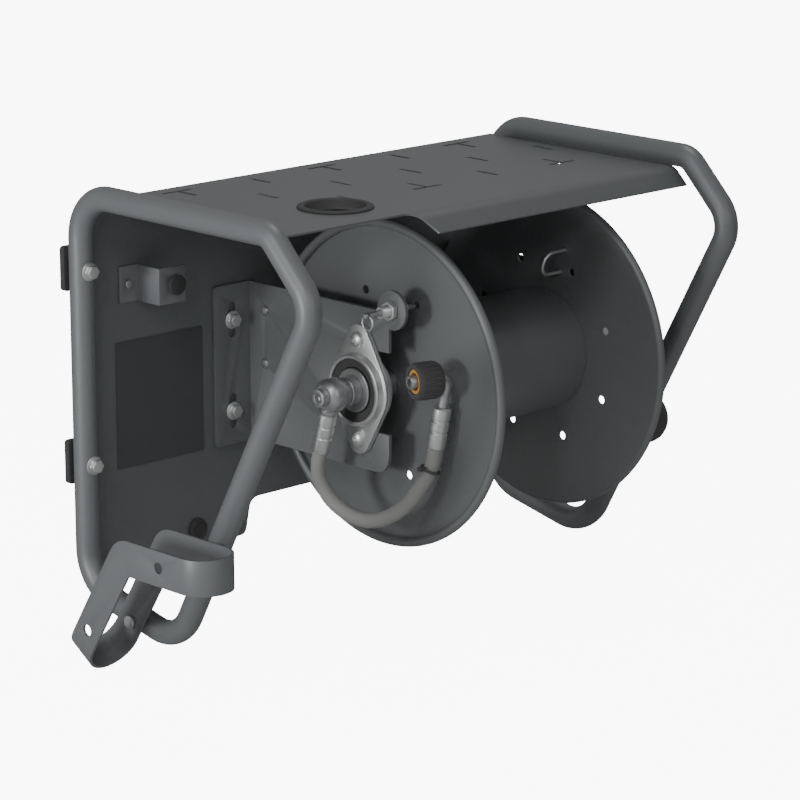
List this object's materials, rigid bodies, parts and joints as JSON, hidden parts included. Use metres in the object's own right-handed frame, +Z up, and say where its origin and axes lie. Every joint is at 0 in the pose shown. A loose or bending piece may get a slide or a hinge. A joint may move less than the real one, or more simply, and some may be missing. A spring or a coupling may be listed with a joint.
{
  "type": "hose_reel_bracket",
  "caption": "Wall-hung charcoal steel pressure-washer bracket: bent tube side frames, slotted shelf and panel, crank hose reel, lance holder and jumper hose",
  "frame": {"origin": "on the wall plane, midway between the two upper wall bolts", "axes": "+X right along the shelf, seen from the front; +Y into the wall; +Z up"},
  "size_m": [0.748, 0.3705, 0.4812],
  "materials": {
    "frame_paint": "dark charcoal powder coat, fine texture",
    "sheet_paint": "dark charcoal powder coat, satin",
    "reel_paint": "dark charcoal powder coat, satin",
    "zinc": "zinc-plated steel",
    "steel": "machined nickel-plated steel",
    "rubber": "black rubber",
    "plastic": "black moulded plastic",
    "label": "plain dark film, no lettering",
    "hose": "grey wrapped hose cover",
    "orange": "orange coupling insert"
  },
  "bodies": {
    "bracket": {"side_frame_left": "frame_paint", "side_frame_right": "frame_paint", "clip_bracket": "frame_paint", "lance_holder": "frame_paint", "panel_and_shelf": "sheet_paint", "reel_arm_left": "reel_paint", "reel_arm_right": "reel_paint", "wall_pad_upper_left": "rubber", "wall_bolt_upper_left": "zinc", "arm_bolt_upper_left": "zinc", "bearing_bolt_upper_left": "zinc", "wall_pad_upper_right": "rubber", "wall_bolt_upper_right": "zinc", "arm_bolt_upper_right": "zinc", "bearing_bolt_upper_right": "zinc", "wall_pad_lower_left": "rubber", "wall_bolt_lower_left": "zinc", "arm_bolt_lower_left": "zinc", "bearing_bolt_lower_left": "zinc", "wall_pad_lower_right": "rubber", "wall_bolt_lower_right": "zinc", "arm_bolt_lower_right": "zinc", "bearing_bolt_lower_right": "zinc", "bearing_plate_inner_left": "zinc", "bearing_plate_outer_left": "zinc", "bearing_seal_left": "rubber", "bearing_plate_inner_right": "zinc", "bearing_plate_outer_right": "zinc", "bearing_seal_right": "rubber", "shelf_hole_ring": "plastic", "zip_tie": "plastic", "info_label": "label", "clip_plug": "rubber", "panel_plug": "rubber", "clip_rivet": "steel", "arm_screw_upper": "steel", "arm_screw_lower": "steel", "swivel_body": "steel", "swivel_plug": "steel", "elbow_pipe": "steel", "lock_barrel": "zinc", "lock_nut": "zinc", "ferrule_swivel_end": "zinc", "ferrule_nut_end": "zinc", "holder_bolt": "zinc", "jumper_hose": "hose"},
    "reel": {"reel_disc_left": "reel_paint", "reel_disc_right": "reel_paint", "reel_drum": "reel_paint", "reel_axle": "steel", "hose_retainer_wire": "zinc", "crank_arm": "reel_paint", "crank_pin": "zinc", "bearing_collar_left": "steel", "bearing_collar_right": "steel"},
    "crank_grip_body": {"crank_grip": "plastic"},
    "lock_pin": {"lock_plunger": "steel", "lock_pull_ring": "zinc"},
    "coupling_nut": {"hand_nut": "plastic", "nut_insert": "orange"}
  },
  "joints": [
    {"name": "reel_spin", "type": "hinge", "parent": "bracket", "child": "reel", "pos_m": [0.0804, -0.19, -0.131], "axis": [1, 0, 0], "continuous": true},
    {"name": "crank_grip_spin", "type": "hinge", "parent": "reel", "child": "crank_grip_body", "pos_m": [0.35, -0.19, -0.239], "axis": [1, 0, 0], "continuous": true},
    {"name": "lock_pin_slide", "type": "slide", "parent": "bracket", "child": "lock_pin", "axis": [1, 0, 0], "range_m": [0, 0.009]},
    {"name": "hand_nut_spin", "type": "hinge", "parent": "bracket", "child": "coupling_nut", "pos_m": [-0.07148, -0.28603, -0.10544], "axis": [-0.9588, 0.2842, 0], "continuous": true}
  ]
}
